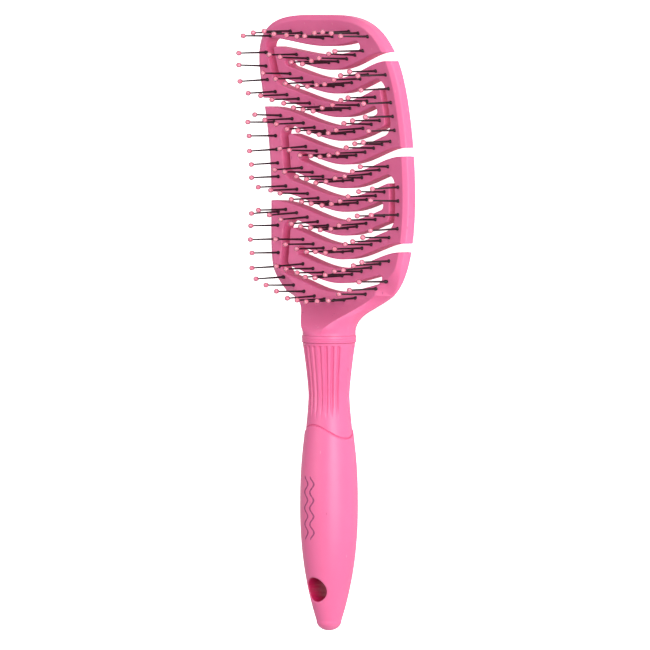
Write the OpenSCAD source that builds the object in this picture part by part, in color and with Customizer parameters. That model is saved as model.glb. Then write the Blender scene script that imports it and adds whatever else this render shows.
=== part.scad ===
// Vented detangling hair brush with a flexible ribbed head
// Millimetres, Z up. The brush lies on its back with the pins pointing up (+Z).
// +X runs from the handle end to the head, the centre of the hanging hole is the origin.

/* [Whole brush] */
// Length over everything
total_l = 240; // [200:1:280]
// Middle of the hanging hole, measured from the handle end
hang_x = 16.5; // [13:0.5:24]
// Bore of the hanging hole
hang_d = 9.2; // [6:0.2:11]

/* [Head] */
// Width of the head across the brush
head_w = 75; // [60:1:90]
// Thickness of the head, face to back
head_t = 6; // [5:0.2:9]
// Radius of the dished face
dish_r = 175; // [140:5:260]
// How far the middle of the face lies below the handle axis
dish_drop = 8; // [5:0.5:12]
// Length of the head, from the top down to the neck
head_l = 113; // [100:1:125]
// Roundness of the top corners, higher is squarer
top_square = 3.5; // [2.5:0.1:6]
// Roundness of the lower corners, higher is squarer
low_square = 4.5; // [2.5:0.1:7]
// Thickness of the pin plate that forms the face
plate_t = 1.6; // [1.2:0.1:2.4]
// Width of the frame rim left around the pin plate
rim_w = 1.8; // [1:0.1:3]

/* [Ribs and slots] */
// Number of wavy slots across the head
slot_count = 11; // [7:2:11]
// Distance from one slot to the next along the brush
slot_pitch = 9.23; // [8:0.1:11]
// Width of a wavy slot
slot_w = 3.3; // [2:0.1:4]
// Rise of the wave from the middle of the head to its sides
wave_rise = 7.2; // [3:0.1:10]
// Distance from the middle to the top of the wave
wave_half = 35.5; // [30:0.5:40]
// Distance from the head top to the first slot, in the middle
slot_top = 13.9; // [12:0.1:18]
// Distance of the lengthwise slots from the middle
side_slot_u = 28.5; // [26:0.5:30]
// Radius of the bends between the even slots and the lengthwise ones
bend_r = 3.6; // [2.6:0.1:4.5]
// Where the slots that open at one side stop near the other side
blind_u = 21; // [16:0.5:24]

/* [Pins] */
// Shaft diameter
pin_d = 0.9; // [0.7:0.1:1.6]
// Length from the face to the end of the tip
pin_l = 16; // [10:0.5:20]
// Spacing along a rib
pin_pitch = 5.3; // [4:0.1:8]
// Spacing along a side band
side_pitch = 5.35; // [4:0.1:8]
// Diameter of the root collar on the face
collar_d = 1.6; // [1.2:0.1:3]
// Height of the root collar above the face
collar_h = 0.7; // [0.3:0.1:1.5]
// Depth of the blind socket in the head frame
socket_h = 2.2; // [1:0.1:3]
// Diameter of the dipped ball at the end
tip_d = 1.9; // [1.6:0.1:3]
// Gap around a shaft in its hole
pin_fit = 0.05; // [0:0.01:0.2]

/* [Neck and handle] */
// Radius of the neck where it meets the ring
neck_r = 10.4; // [9:0.1:12]
// Length of the neck, from the head down to the top edge of the ring
neck_l = 11.6; // [9:0.1:15]
// Width of the neck ring along the handle
ring_w = 2.7; // [2:0.1:5]
// How far the ring stands proud of the neck
ring_proud = 0.2; // [0:0.05:0.6]
// Radius of the tang inside the handle
tang_r = 5; // [3.5:0.1:6.5]
// Length of the tang
tang_l = 82; // [60:1:90]
// Gap around the tang
tang_fit = 0.05; // [0:0.01:0.2]
// Radius of the grip at its thickest
grip_r = 11.3; // [9:0.1:14]
// Distance from the top of the ring down to the thickest place of the grip
grip_drop = 66.4; // [60:0.1:75]
// Radius of the waist
waist_r = 8; // [7:0.1:10]
// Distance from the top of the ring down to the thinnest place of the waist
waist_drop = 23.4; // [18:0.1:28]
// Distance from the top of the ring down to the middle of the wavy step
step_drop = 37.4; // [34:0.1:42]
// Height of the waves in the step, crest to middle
step_rise = 2.6; // [0:0.1:4]
// How far the grip stands proud of the sleeve at the step
step_proud = 0.3; // [0:0.05:0.6]
// Gap left between sleeve and grip at the step
step_gap = 0.1; // [0:0.05:0.4]
// Number of flute places around the waist
flute_count = 24; // [12:1:28]
// Turn from the pin side or the back up to which there are flutes, in degrees
flute_reach = 75; // [45:1:90]
// Radius of the round cutter of a flute
flute_r = 0.75; // [0.5:0.05:1.4]
// Depth of a flute at the waist
flute_depth = 0.45; // [0.2:0.05:0.9]

/* [Hidden] */

$fn = 96;
eps = 0.01;
far = 400;
pink = [0.93, 0.45, 0.65];
rose = [0.80, 0.38, 0.55];
black = [0.08, 0.05, 0.06];
blush = [0.93, 0.62, 0.69];

// Dish: one ball centre for face and back, so the head has one thickness
ball_x = total_l - 71;
ball_z = dish_r - dish_drop;
back_r = dish_r + head_t;
seat_r = dish_r + plate_t;

// Stations along the handle, measured from the handle end
neck_x = total_l - head_l - neck_l;
grip_x = neck_x - grip_drop;
waist_x = neck_x - waist_drop;
step_x = neck_x - step_drop;

// Plan of the head, u across and x along
half_w = head_w / 2;
top_mid = total_l - 40;
top_len = total_l - top_mid;
low_mid = total_l - 55;
low_len = head_l - (total_l - low_mid);
head_low = total_l - head_l;
flare_x = neck_x + 1;
flare_l = 13;
flare_w = 12.6;
flare_pow = 2.3;

// Ramp from the face up to the neck ring
ramp_x0 = head_low - 0.2;
ramp_x1 = neck_x + 1.6;
ramp_z1 = neck_r - 0.4;

first_slot = total_l - slot_top;
rib_half = (slot_pitch - slot_w) / 2;
slot_open = half_w + 5;
slot_half = slot_w / 2;
u_step = 1.6;

// Height of the dished face above any point of the plan
function ball_low(x, u, r) = ball_z - sqrt(r * r - (x - ball_x) * (x - ball_x) - u * u);
function face_z(x, u) = ball_low(x, u, dish_r);

// Wave that every slot and rib follows
function wave(u) = wave_rise * (1 - cos(180 * min(abs(u), wave_half) / wave_half)) / 2;

// The first slot is flatter, the last one is flatter on its right
first_flat = 0.55;
last_flat = 0.72;
function is_first(i) = i == 0;
function is_last(i) = i == slot_count - 1;
function slot_flat(i, u) = is_first(i) ? first_flat : (is_last(i) && u > 0 ? last_flat : 1);
function slot_line(i, u) = first_slot - i * slot_pitch + wave(u) * slot_flat(i, u);

// Ends of every slot: odd ones open at a side, even ones join the lengthwise slots
first_end = 18;
last_end = 23.5;
function opens_right(i) = i % 4 == 1;
function opens_left(i) = i % 4 == 3;
function slot_from(i) = opens_left(i) ? -slot_open : (opens_right(i) ? -blind_u : -side_slot_u);
function right_end(i) = is_first(i) ? first_end : (is_last(i) ? last_end : side_slot_u);
function slot_to(i) = opens_right(i) ? slot_open : (opens_left(i) ? blind_u : right_end(i));

// Half width of the head plan at a distance along the brush
function corner(t, n) = pow(max(0, 1 - pow(min(1, abs(t)), n)), 1 / n);
function top_half(x) = half_w * corner((x - top_mid) / top_len, top_square);
function low_half(x) = half_w * corner((low_mid - x) / low_len, low_square);
function flare_half(x) = neck_r + flare_w * pow(max(0, x - flare_x) / flare_l, flare_pow);
function body_half(x) = x > top_mid ? top_half(x) : (x > low_mid ? half_w : low_half(x));
function plan_half(x) = x < head_low + 2 ? max(body_half(x), flare_half(x)) : body_half(x);

// Stations along the plan, closer together towards the top edge
top_steps = 14;
function top_station(i) = top_mid + top_len * sin(90 * i / top_steps);
low_steps = 30;
function low_station(i) = neck_x + (low_mid - neck_x) * i / low_steps;
stations = concat([for (i = [0 : low_steps]) low_station(i)], [for (i = [1 : top_steps]) top_station(i)]);
last_i = len(stations) - 1;

function outline(inset) = concat(
    [for (i = [0 : last_i]) [min(stations[i], total_l - inset), -max(0, plan_half(stations[i]) - inset)]],
    [for (i = [last_i - 1 : -1 : 0]) [min(stations[i], total_l - inset), max(0, plan_half(stations[i]) - inset)]]
);

function slot_points(i) = let (
    a = slot_from(i),
    b = slot_to(i),
    n = ceil((b - a) / u_step)
) concat(
    [for (k = [0 : n]) let (u = a + (b - a) * k / n) [slot_line(i, u) - slot_half, -u]],
    [for (k = [n : -1 : 0]) let (u = a + (b - a) * k / n) [slot_line(i, u) + slot_half, -u]]
);

// Middle line of the even slots, from the first slot's right end to the last slot's end
function side_of(i) = i % 4 == 0 ? -1 : 1;
function run_u(i, from) = from
    ? (is_first(i) ? first_end : -side_of(i) * (side_slot_u - bend_r))
    : (is_last(i) ? last_end : side_of(i) * (side_slot_u - bend_r));
run_n = 20;
bend_n = 7;
function run(i) = let (a = run_u(i, true), b = run_u(i, false))
    [for (k = [0 : run_n]) let (u = a + (b - a) * k / run_n) [slot_line(i, u), u]];
function bend(p, c, q) =
    [for (k = [1 : bend_n - 1]) let (t = k / bend_n)
        pow(1 - t, 3) * p + 3 * t * pow(1 - t, 2) * (p + bend_pull * (c - p))
            + 3 * t * t * (1 - t) * (q + bend_pull * (c - q)) + t * t * t * q];
bend_pull = 0.55;
function knee(i, side) = [slot_line(i, side * side_slot_u), side * side_slot_u];
function link(i) = let (
    side = side_of(i),
    p = knee(i, side),
    q = knee(i + 2, side),
    p1 = p - [bend_r, 0],
    q1 = q + [bend_r, 0],
    last = run(i)[run_n],
    next = run(i + 2)[0]
) concat(bend(last, p, p1), [p1, q1], bend(q1, q, next));
middle = [for (i = [0 : 2 : slot_count - 1])
    each concat(run(i), i + 2 < slot_count ? link(i) : [])];
last_k = len(middle) - 1;
function unit(v) = v / norm(v);
function heading(k) = unit(middle[min(last_k, k + 1)] - middle[max(0, k - 1)]);
function to_plan(k, away) = let (t = heading(k), p = middle[k] + away * [-t[1], t[0]]) [p[0], -p[1]];

// Handle radius at a distance from the handle end
grip_taper = 0.68;
grip_pow = 2.2;
cap_x = 4;
waist_pow = 0.75;
throat_pow = 1.35;
function tail_r(x) = grip_r * (1 - grip_taper * pow((grip_x - x) / grip_x, grip_pow));
function cap_r(x) = tail_r(cap_x) * sqrt(max(0, 1 - pow((cap_x - x) / cap_x, 2)));
function swell(x) = pow((1 + cos(180 * (x - grip_x) / (waist_x - grip_x))) / 2, waist_pow);
function mid_r(x) = waist_r + (grip_r - waist_r) * swell(x);
throat_x = neck_x - ring_w;
function throat(x) = pow(max(0, x - waist_x) / (throat_x - waist_x), throat_pow);
function throat_r(x) = waist_r + (neck_r - 0.1 - waist_r) * throat(x);
function low_r(x) = x < cap_x ? cap_r(x) : tail_r(x);
function high_r(x) = x < waist_x ? mid_r(x) : throat_r(x);
function handle_r(x) = x < grip_x ? low_r(x) : high_r(x);

// Turns a side profile drawn along X into a body round the handle axis
module turned(points) {
    rotate([90, 0, 90])
        rotate_extrude()
            polygon(points);
}

module round_bar(x0, x1, r) {
    translate([x0, 0, 0])
        rotate([0, 90, 0])
            cylinder(h = x1 - x0, r = r);
}

// Puts the drawing origin, the handle end, under the hanging hole
module placed() {
    translate([-hang_x, 0, 0])
        children();
}

// ---- head ----

module ball(r) {
    translate([ball_x, 0, ball_z])
        sphere(r = r);
}

module plan_block(inset) {
    translate([0, 0, -far / 8])
        linear_extrude(height = far / 4)
            polygon(outline(inset));
}

// Everything on the head side of the foot of the ramp
module beyond_ramp() {
    translate([ramp_x0, -half_w, -far / 8])
        cube([far, head_w, far / 4]);
}

module wavy_slot(i) {
    translate([0, 0, -far / 8])
        linear_extrude(height = far / 4)
            polygon(slot_points(i));
}

module slot_end(i, u) {
    translate([slot_line(i, u), -u, -far / 8])
        cylinder(h = far / 4, r = slot_half, $fn = 48);
}

// The even slots run into one another through bends at alternate sides
module serpentine() {
    translate([0, 0, -far / 8])
        linear_extrude(height = far / 4)
            polygon(concat(
                [for (k = [0 : last_k]) to_plan(k, slot_half)],
                [for (k = [last_k : -1 : 0]) to_plan(k, -slot_half)]
            ));
}

module slots() {
    serpentine();
    for (i = [1 : 2 : slot_count - 1]) {
        wavy_slot(i);
        if (opens_right(i))
            slot_end(i, -blind_u);
        if (opens_left(i))
            slot_end(i, blind_u);
    }
    slot_end(0, first_end);
    slot_end(slot_count - 1, last_end);
}

// Underside of the neck: a ball like the back of the head, moved so that it meets the back
// where the ramp starts and the round neck where the neck ends
neck_low = -neck_r - 0.25;
meet_x = ramp_x0 + 0.7;
meet_z = ball_low(meet_x, 0, back_r);
belly_rise = meet_z - neck_low;
belly_x = (meet_x + ramp_x1) / 2 - belly_rise * back_r / (meet_x - ramp_x1);
belly_z = meet_z + sqrt(back_r * back_r - pow(meet_x - belly_x, 2));

// Radius that gives the neck the width of the plan at the depth of the head there
mid_depth = (back_r + dish_r) / 2 - ball_z;
function depth_at(x) = mid_depth * max(0, x - flare_x) / (ramp_x0 - flare_x);
function bell_r(x) = sqrt(pow(flare_half(x), 2) + pow(depth_at(x) * 0.5, 2));

// Neck: round at the ring, spreading into the lower end of the head
module neck_body() {
    bell_steps = 10;
    bell_end = ramp_x0 + 1.6;
    difference() {
        intersection() {
            turned(concat(
                [[0, neck_x], [neck_r, neck_x], [neck_r, flare_x]],
                [for (i = [1 : bell_steps])
                    let (x = flare_x + (bell_end - flare_x) * i / bell_steps)
                        [bell_r(x), x]],
                [[0, bell_end]]
            ));
            translate([belly_x, 0, belly_z])
                sphere(r = back_r);
        }
        // the ramp up to the ring
        rotate([90, 0, 0])
            translate([0, 0, -half_w])
                linear_extrude(height = head_w)
                    polygon([
                        [ramp_x1, ramp_z1],
                        [ramp_x0, face_z(ramp_x0, 0)],
                        [ramp_x0 + 3, face_z(ramp_x0, 0)],
                        [ramp_x0 + 3, far / 8],
                        [ramp_x1, far / 8]
                    ]);
        // the dish above the seat of the pin plate
        intersection() {
            ball(seat_r);
            beyond_ramp();
        }
    }
}

module head_frame() {
    color(pink)
        difference() {
            union() {
                difference() {
                    intersection() {
                        plan_block(0);
                        ball(back_r);
                        beyond_ramp();
                    }
                    ball(seat_r);
                }
                neck_body();
                round_bar(neck_x - tang_l, neck_x + eps, tang_r);
            }
            slots();
            pin_holes(socket_h);
        }
}

module pin_plate() {
    color(rose)
        difference() {
            intersection() {
                plan_block(rim_w);
                ball(seat_r);
                beyond_ramp();
            }
            ball(dish_r);
            slots();
            pin_holes(0);
        }
}

// ---- pins ----

// How far each row is shifted along its rib, as a part of the pin spacing
row_shift = [0, 0, 0.35, 0.5, 0.5, 0, 0.5, 0.5, 0.2, 0.4];
long_side = 30.5;
short_side = 24.5;

// Odd pairs of ribs run out to one side band, the next pair to the other
function rib_right(r) = r == 1 ? blind_u + 1 : (right_band(r) ? long_side : short_side);
function rib_left(r) = r == 1 ? blind_u - 4 : (left_band(r) ? long_side : short_side - 1);
function right_band(r) = r == 2 || r == 5 || r == 6 || r == 9 || r == 10;
function left_band(r) = r == 3 || r == 4 || r == 7 || r == 8;
function rib_x(r, u) = first_slot + slot_pitch / 2 - r * slot_pitch + wave(u);
function rib_row(r) = let (s = row_shift[r - 1] * pin_pitch) [
    for (k = [-7 : 7])
        let (u = s + k * pin_pitch)
            if (u <= rib_right(r) && u >= -rib_left(r))
                [rib_x(r, u), u]
];

// Row above the first slot, and row below the last one
top_row_x = slot_top - 4.9;
top_wave = 2.6;
top_period = 32;
top_count = 5;
function top_x(u) = total_l - top_row_x + top_wave * (1 - cos(360 * u / top_period)) / 2;
top_row = [for (k = [-top_count : top_count]) let (u = k * pin_pitch) [top_x(u), u]];

low_row_x = head_low + 1.8;
low_curve = 95;
low_count = 5;
function low_x(u) = low_row_x + u * u / low_curve;
low_row = [for (k = [-low_count : low_count]) let (u = k * (pin_pitch + 0.3)) [low_x(u), u]];

// Side bands: [side, distance of the first pin from the head top, number of pins]
side_u = half_w - 4.9;
left_bands = [[14.8, 3], [42.2, 5], [77.4, 5]];
right_bands = [[23, 5], [66.4, 4]];
function band(side, runs) = [
    for (run = runs)
        for (k = [0 : run[1] - 1])
            let (x = total_l - run[0] - k * side_pitch)
                [x, side * min(side_u, plan_half(x) - 4.6)]
];
left_row = band(-1, left_bands);
right_row = band(1, right_bands);

function row(name) = name == 0 ? top_row : (name <= slot_count - 1 ? rib_row(name) : low_row);
all_pins = concat(
    [for (r = [0 : slot_count]) each row(r)],
    left_row,
    right_row
);

module at_pin(p, down) {
    translate([p[0], -p[1], face_z(p[0], p[1]) - down])
        children();
}

module pin_holes(depth) {
    for (p = all_pins)
        at_pin(p, plate_t + depth)
            cylinder(h = plate_t + depth + 3, d = pin_d + 2 * pin_fit, $fn = 24);
}

// Shafts with a root collar that sits on the face
module pin_row(points) {
    shaft_h = pin_l - tip_d / 2;
    color(black) {
        for (p = points)
            at_pin(p, plate_t + socket_h)
                cylinder(h = plate_t + socket_h + shaft_h, d = pin_d, $fn = 24);
        intersection() {
            for (p = points)
                at_pin(p, 1)
                    cylinder(h = 1 + collar_h, d = collar_d, $fn = 24);
            ball(dish_r);
        }
    }
}

// Dipped balls, each with a socket filled by the end of its shaft
module tip_row(points) {
    ball_h = pin_l - tip_d / 2;
    color(blush)
        difference() {
            for (p = points)
                at_pin(p, -ball_h)
                    sphere(d = tip_d, $fn = 32);
            for (p = points)
                at_pin(p, 0)
                    cylinder(h = ball_h, d = pin_d, $fn = 24);
        }
}

// ---- handle ----

module neck_ring() {
    ring_r = neck_r + ring_proud;
    edge = 0.4;
    x0 = neck_x - ring_w;
    color(pink)
        turned([
            [tang_r + tang_fit, x0],
            [ring_r - edge, x0],
            [ring_r, x0 + edge],
            [ring_r, neck_x - edge],
            [ring_r - edge, neck_x],
            [tang_r + tang_fit, neck_x]
        ]);
}

// Plan of the wavy step: highest at the pin side and the back, lowest at the sides
function step_line(y) = step_x + step_rise - 2 * step_rise * pow(y / mid_r(step_x), 2);
step_half = grip_r + 2;
step_n = 24;
function step_points(shift) = [
    for (k = [0 : step_n])
        let (y = -step_half + 2 * step_half * k / step_n)
            [step_line(y) + shift, y]
];

module beyond_step(shift, end_x) {
    translate([0, 0, -step_half])
        linear_extrude(height = 2 * step_half)
            polygon(concat(step_points(shift), [[end_x, step_half], [end_x, -step_half]]));
}

module flute() {
    arc_r = 70;
    mid_x = waist_x + 3;
    deep = waist_r - flute_depth;
    low_a = asin((waist_x - 8 - mid_x) / arc_r);
    high_a = asin((throat_x - 1.2 - mid_x) / arc_r);
    translate([mid_x, 0, deep + arc_r])
        rotate([90, 0, 0])
            rotate([0, 0, 270 + low_a])
                rotate_extrude(angle = high_a - low_a)
                    translate([arc_r - flute_r, 0])
                        circle(r = flute_r, $fn = 24);
}

function flute_turn(i) = 360 * (i + 0.5) / flute_count;

module fluted_sleeve() {
    sleeve_n = 26;
    x0 = step_x - step_rise * 2 - 6;
    color(pink)
        difference() {
            intersection() {
                turned(concat(
                    [[tang_r + tang_fit, x0]],
                    [for (i = [0 : sleeve_n]) let (x = x0 + (throat_x - x0) * i / sleeve_n) [handle_r(x), x]],
                    [[tang_r + tang_fit, throat_x]]
                ));
                beyond_step(step_gap, throat_x + 1);
            }
            for (i = [0 : flute_count - 1])
                if (abs(cos(flute_turn(i))) > cos(flute_reach))
                    rotate([flute_turn(i), 0, 0])
                        flute();
        }
}

module grip() {
    tail_n = 10;
    body_n = 34;
    x1 = step_x + step_rise + 1;
    color(pink)
        difference() {
            turned(concat(
                [for (i = [0 : tail_n]) let (x = cap_x * (1 - cos(90 * i / tail_n))) [cap_r(x), x]],
                [for (i = [1 : body_n])
                    let (x = cap_x + (x1 - cap_x) * i / body_n)
                        [handle_r(x) + step_proud * min(1, max(0, (x - grip_x) / 20)), x]],
                [[0, x1]]
            ));
            beyond_step(0, x1 + 2);
            round_bar(neck_x - tang_l - 0.3, x1 + 2, tang_r + tang_fit);
            translate([hang_x, 0, -step_half])
                cylinder(h = 2 * step_half, d = hang_d);
        }
}

placed() head_frame();
placed() pin_plate();
placed() neck_ring();
placed() fluted_sleeve();
placed() grip();
placed() pin_row(top_row);  // pins_top
placed() pin_row(rib_row(1));  // pins_rib_1
placed() pin_row(rib_row(2));  // pins_rib_2
placed() pin_row(rib_row(3));  // pins_rib_3
placed() pin_row(rib_row(4));  // pins_rib_4
placed() pin_row(rib_row(5));  // pins_rib_5
placed() pin_row(rib_row(6));  // pins_rib_6
placed() pin_row(rib_row(7));  // pins_rib_7
placed() pin_row(rib_row(8));  // pins_rib_8
placed() pin_row(rib_row(9));  // pins_rib_9
placed() pin_row(rib_row(10));  // pins_rib_10
placed() pin_row(low_row);  // pins_low
placed() pin_row(left_row);  // pins_side_left
placed() pin_row(right_row);  // pins_side_right
placed() tip_row(top_row);  // tips_top
placed() tip_row(rib_row(1));  // tips_rib_1
placed() tip_row(rib_row(2));  // tips_rib_2
placed() tip_row(rib_row(3));  // tips_rib_3
placed() tip_row(rib_row(4));  // tips_rib_4
placed() tip_row(rib_row(5));  // tips_rib_5
placed() tip_row(rib_row(6));  // tips_rib_6
placed() tip_row(rib_row(7));  // tips_rib_7
placed() tip_row(rib_row(8));  // tips_rib_8
placed() tip_row(rib_row(9));  // tips_rib_9
placed() tip_row(rib_row(10));  // tips_rib_10
placed() tip_row(low_row);  // tips_low
placed() tip_row(left_row);  // tips_side_left
placed() tip_row(right_row);  // tips_side_right
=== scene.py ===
"""Looks of a vented detangling hair brush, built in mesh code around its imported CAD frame.

Every size is in millimetres along the brush, measured from the end of the handle: x along
the brush, u across it (the way -Y points) and z the way the pins point. The finished
vertices are moved to the row frame, in metres.
"""

import logging
import math
import random
from dataclasses import dataclass
from enum import Enum
from typing import Callable, Sequence

import bmesh
import bpy
from mathutils import Matrix, Vector

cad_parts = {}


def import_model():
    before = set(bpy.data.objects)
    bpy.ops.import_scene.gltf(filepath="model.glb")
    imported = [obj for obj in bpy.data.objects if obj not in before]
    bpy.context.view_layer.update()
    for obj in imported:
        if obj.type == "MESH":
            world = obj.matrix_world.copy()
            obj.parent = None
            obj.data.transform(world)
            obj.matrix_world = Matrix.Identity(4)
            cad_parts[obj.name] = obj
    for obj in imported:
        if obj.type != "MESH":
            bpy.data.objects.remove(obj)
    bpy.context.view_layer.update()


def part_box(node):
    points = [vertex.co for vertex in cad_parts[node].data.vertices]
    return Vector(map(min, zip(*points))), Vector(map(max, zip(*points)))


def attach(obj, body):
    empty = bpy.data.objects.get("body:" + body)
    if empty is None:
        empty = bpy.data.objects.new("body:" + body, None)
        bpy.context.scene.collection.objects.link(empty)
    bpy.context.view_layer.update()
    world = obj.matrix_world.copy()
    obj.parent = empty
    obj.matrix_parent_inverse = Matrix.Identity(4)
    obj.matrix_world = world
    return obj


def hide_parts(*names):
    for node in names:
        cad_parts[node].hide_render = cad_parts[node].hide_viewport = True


LOG = logging.getLogger("brush")
MM = 0.001
TAU = 2 * math.pi
# Lift that tells the finished points of the neck from the slab that is still to be bent
NECK_MARK = 1000.0
# Depth shares up to the first lie on the front, from the second on the back
ON_FRONT, ON_BACK, SLACK = 0.004, 0.995, 1e-3
Place = Callable[[float, float], Vector]


class Slot(Enum):
    """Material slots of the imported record."""

    PINK = "moulded_pink"
    NYLON = "nylon_black"
    RESIN = "dipped_resin"


class Side(Enum):
    """Which side of the head a slot opens at, seen from the pins."""

    NONE = 0
    LEFT = -1
    RIGHT = 1


# ---------------------------------------------------------------- small helpers


def smooth(t: float) -> float:
    """Eases a share from 0 to 1."""
    t = min(1.0, max(0.0, t))
    return t * t * (3 - 2 * t)


def linear(hex_colour: str) -> tuple[float, float, float, float]:
    """Turns an sRGB hex colour into linear values for a shader socket.

    Args:
        hex_colour: six hex digits, with or without a leading #.

    Returns:
        Red, green, blue and an alpha of one.
    """
    digits = hex_colour.lstrip("#")
    parts = [int(digits[i : i + 2], 16) / 255 for i in (0, 2, 4)]
    r, g, b = [c / 12.92 if c <= 0.04045 else ((c + 0.055) / 1.055) ** 2.4 for c in parts]
    return (r, g, b, 1.0)


@dataclass(frozen=True)
class Datum:
    """Main sizes read from the CAD frame, so that the looks follow it."""

    hang_x: float
    head_low_z: float

    @classmethod
    def read(cls) -> "Datum":
        """Measures the CAD nodes.

        Returns:
            The datum, in millimetres.
        """
        tail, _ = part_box("grip")
        low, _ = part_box("head_frame")
        return cls(-tail[0] / MM, low[2] / MM)

    def world(self, x: float, u: float, z: float) -> Vector:
        """Puts a point of the brush in the row frame, in metres."""
        return Vector(((x - self.hang_x) * MM, -u * MM, z * MM))


# ---------------------------------------------------------------- finishes


@dataclass(frozen=True)
class Nodes:
    """A node tree being filled, with short ways to add and join nodes."""

    tree: bpy.types.NodeTree

    def add(self, kind: str, settings: dict | None = None, **inputs: object) -> bpy.types.Node:
        """Adds a node, sets it up and links or fills its inputs.

        Args:
            kind: the node's type, without the leading ShaderNode.
            settings: attributes of the node itself.
            inputs: socket values or output sockets; an underscore stands for a space.

        Returns:
            The new node.
        """
        node = self.tree.nodes.new("ShaderNode" + kind)
        for key, value in (settings or {}).items():
            setattr(node, key, value)
        for key, value in inputs.items():
            name = int(key[1:]) if key[0] == "_" else key.replace("_", " ")
            if isinstance(value, bpy.types.NodeSocket):
                self.tree.links.new(value, node.inputs[name])
            else:
                node.inputs[name].default_value = value
        return node

    def grade(self, source: bpy.types.NodeSocket, low: float, high: float) -> bpy.types.NodeSocket:
        """Maps a 0 to 1 value onto another span.

        Args:
            source: the value to map.
            low: result at zero.
            high: result at one.

        Returns:
            The mapped value.
        """
        return self.add("MapRange", Value=source, To_Min=low, To_Max=high).outputs[0]

    def noise(
        self, point: bpy.types.NodeSocket, grain_mm: float, detail: float, rough: float = 0.5
    ) -> bpy.types.NodeSocket:
        """Adds a noise.

        Args:
            point: where the noise is read.
            grain_mm: size of its grain.
            detail: number of finer layers.
            rough: strength of the finer layers.

        Returns:
            A value from 0 to 1.
        """
        scale = 1 / (grain_mm * MM)
        node = self.add(
            "TexNoise", None, Vector=point, Scale=scale, Detail=detail, Roughness=rough
        )
        return node.outputs[0]

    def ramp(self, source: bpy.types.NodeSocket, start: float, end: float) -> bpy.types.NodeSocket:
        """Cuts a value to a 0 to 1 mask that rises between start and end."""
        node = self.add("MapRange", Value=source, From_Min=start, From_Max=end)
        return node.outputs[0]

    def mix(self, factor: object, a: object, b: object) -> bpy.types.NodeSocket:
        """Mixes two colours.

        Args:
            factor: share of the second colour.
            a: first colour, a value or a socket.
            b: second colour, a value or a socket.

        Returns:
            The mixed colour.
        """
        node = self.add("Mix", {"data_type": "RGBA"})
        for index, value in ((0, factor), (6, a), (7, b)):
            if isinstance(value, bpy.types.NodeSocket):
                self.tree.links.new(value, node.inputs[index])
            else:
                node.inputs[index].default_value = value
        return node.outputs[2]


@dataclass(frozen=True)
class Finish:
    """A finish that is built from shader nodes."""

    name: str

    def paint(self, nodes: Nodes, point: bpy.types.NodeSocket) -> dict[str, object]:
        """Gives the inputs of the principled shader.

        Args:
            nodes: the tree to add to.
            point: object coordinates, in metres.

        Returns:
            Values and sockets by input name, spaces as underscores.
        """
        raise NotImplementedError

    def make(self) -> bpy.types.Material:
        """Builds the material.

        Returns:
            The new material.
        """
        material = bpy.data.materials.new(self.name)
        material.use_nodes = True
        tree = material.node_tree
        tree.nodes.clear()
        nodes = Nodes(tree)
        point = nodes.add("TexCoord").outputs["Object"]
        shader = nodes.add("BsdfPrincipled", None, **self.paint(nodes, point))
        nodes.add("OutputMaterial", None, Surface=shader.outputs[0])
        return material


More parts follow.
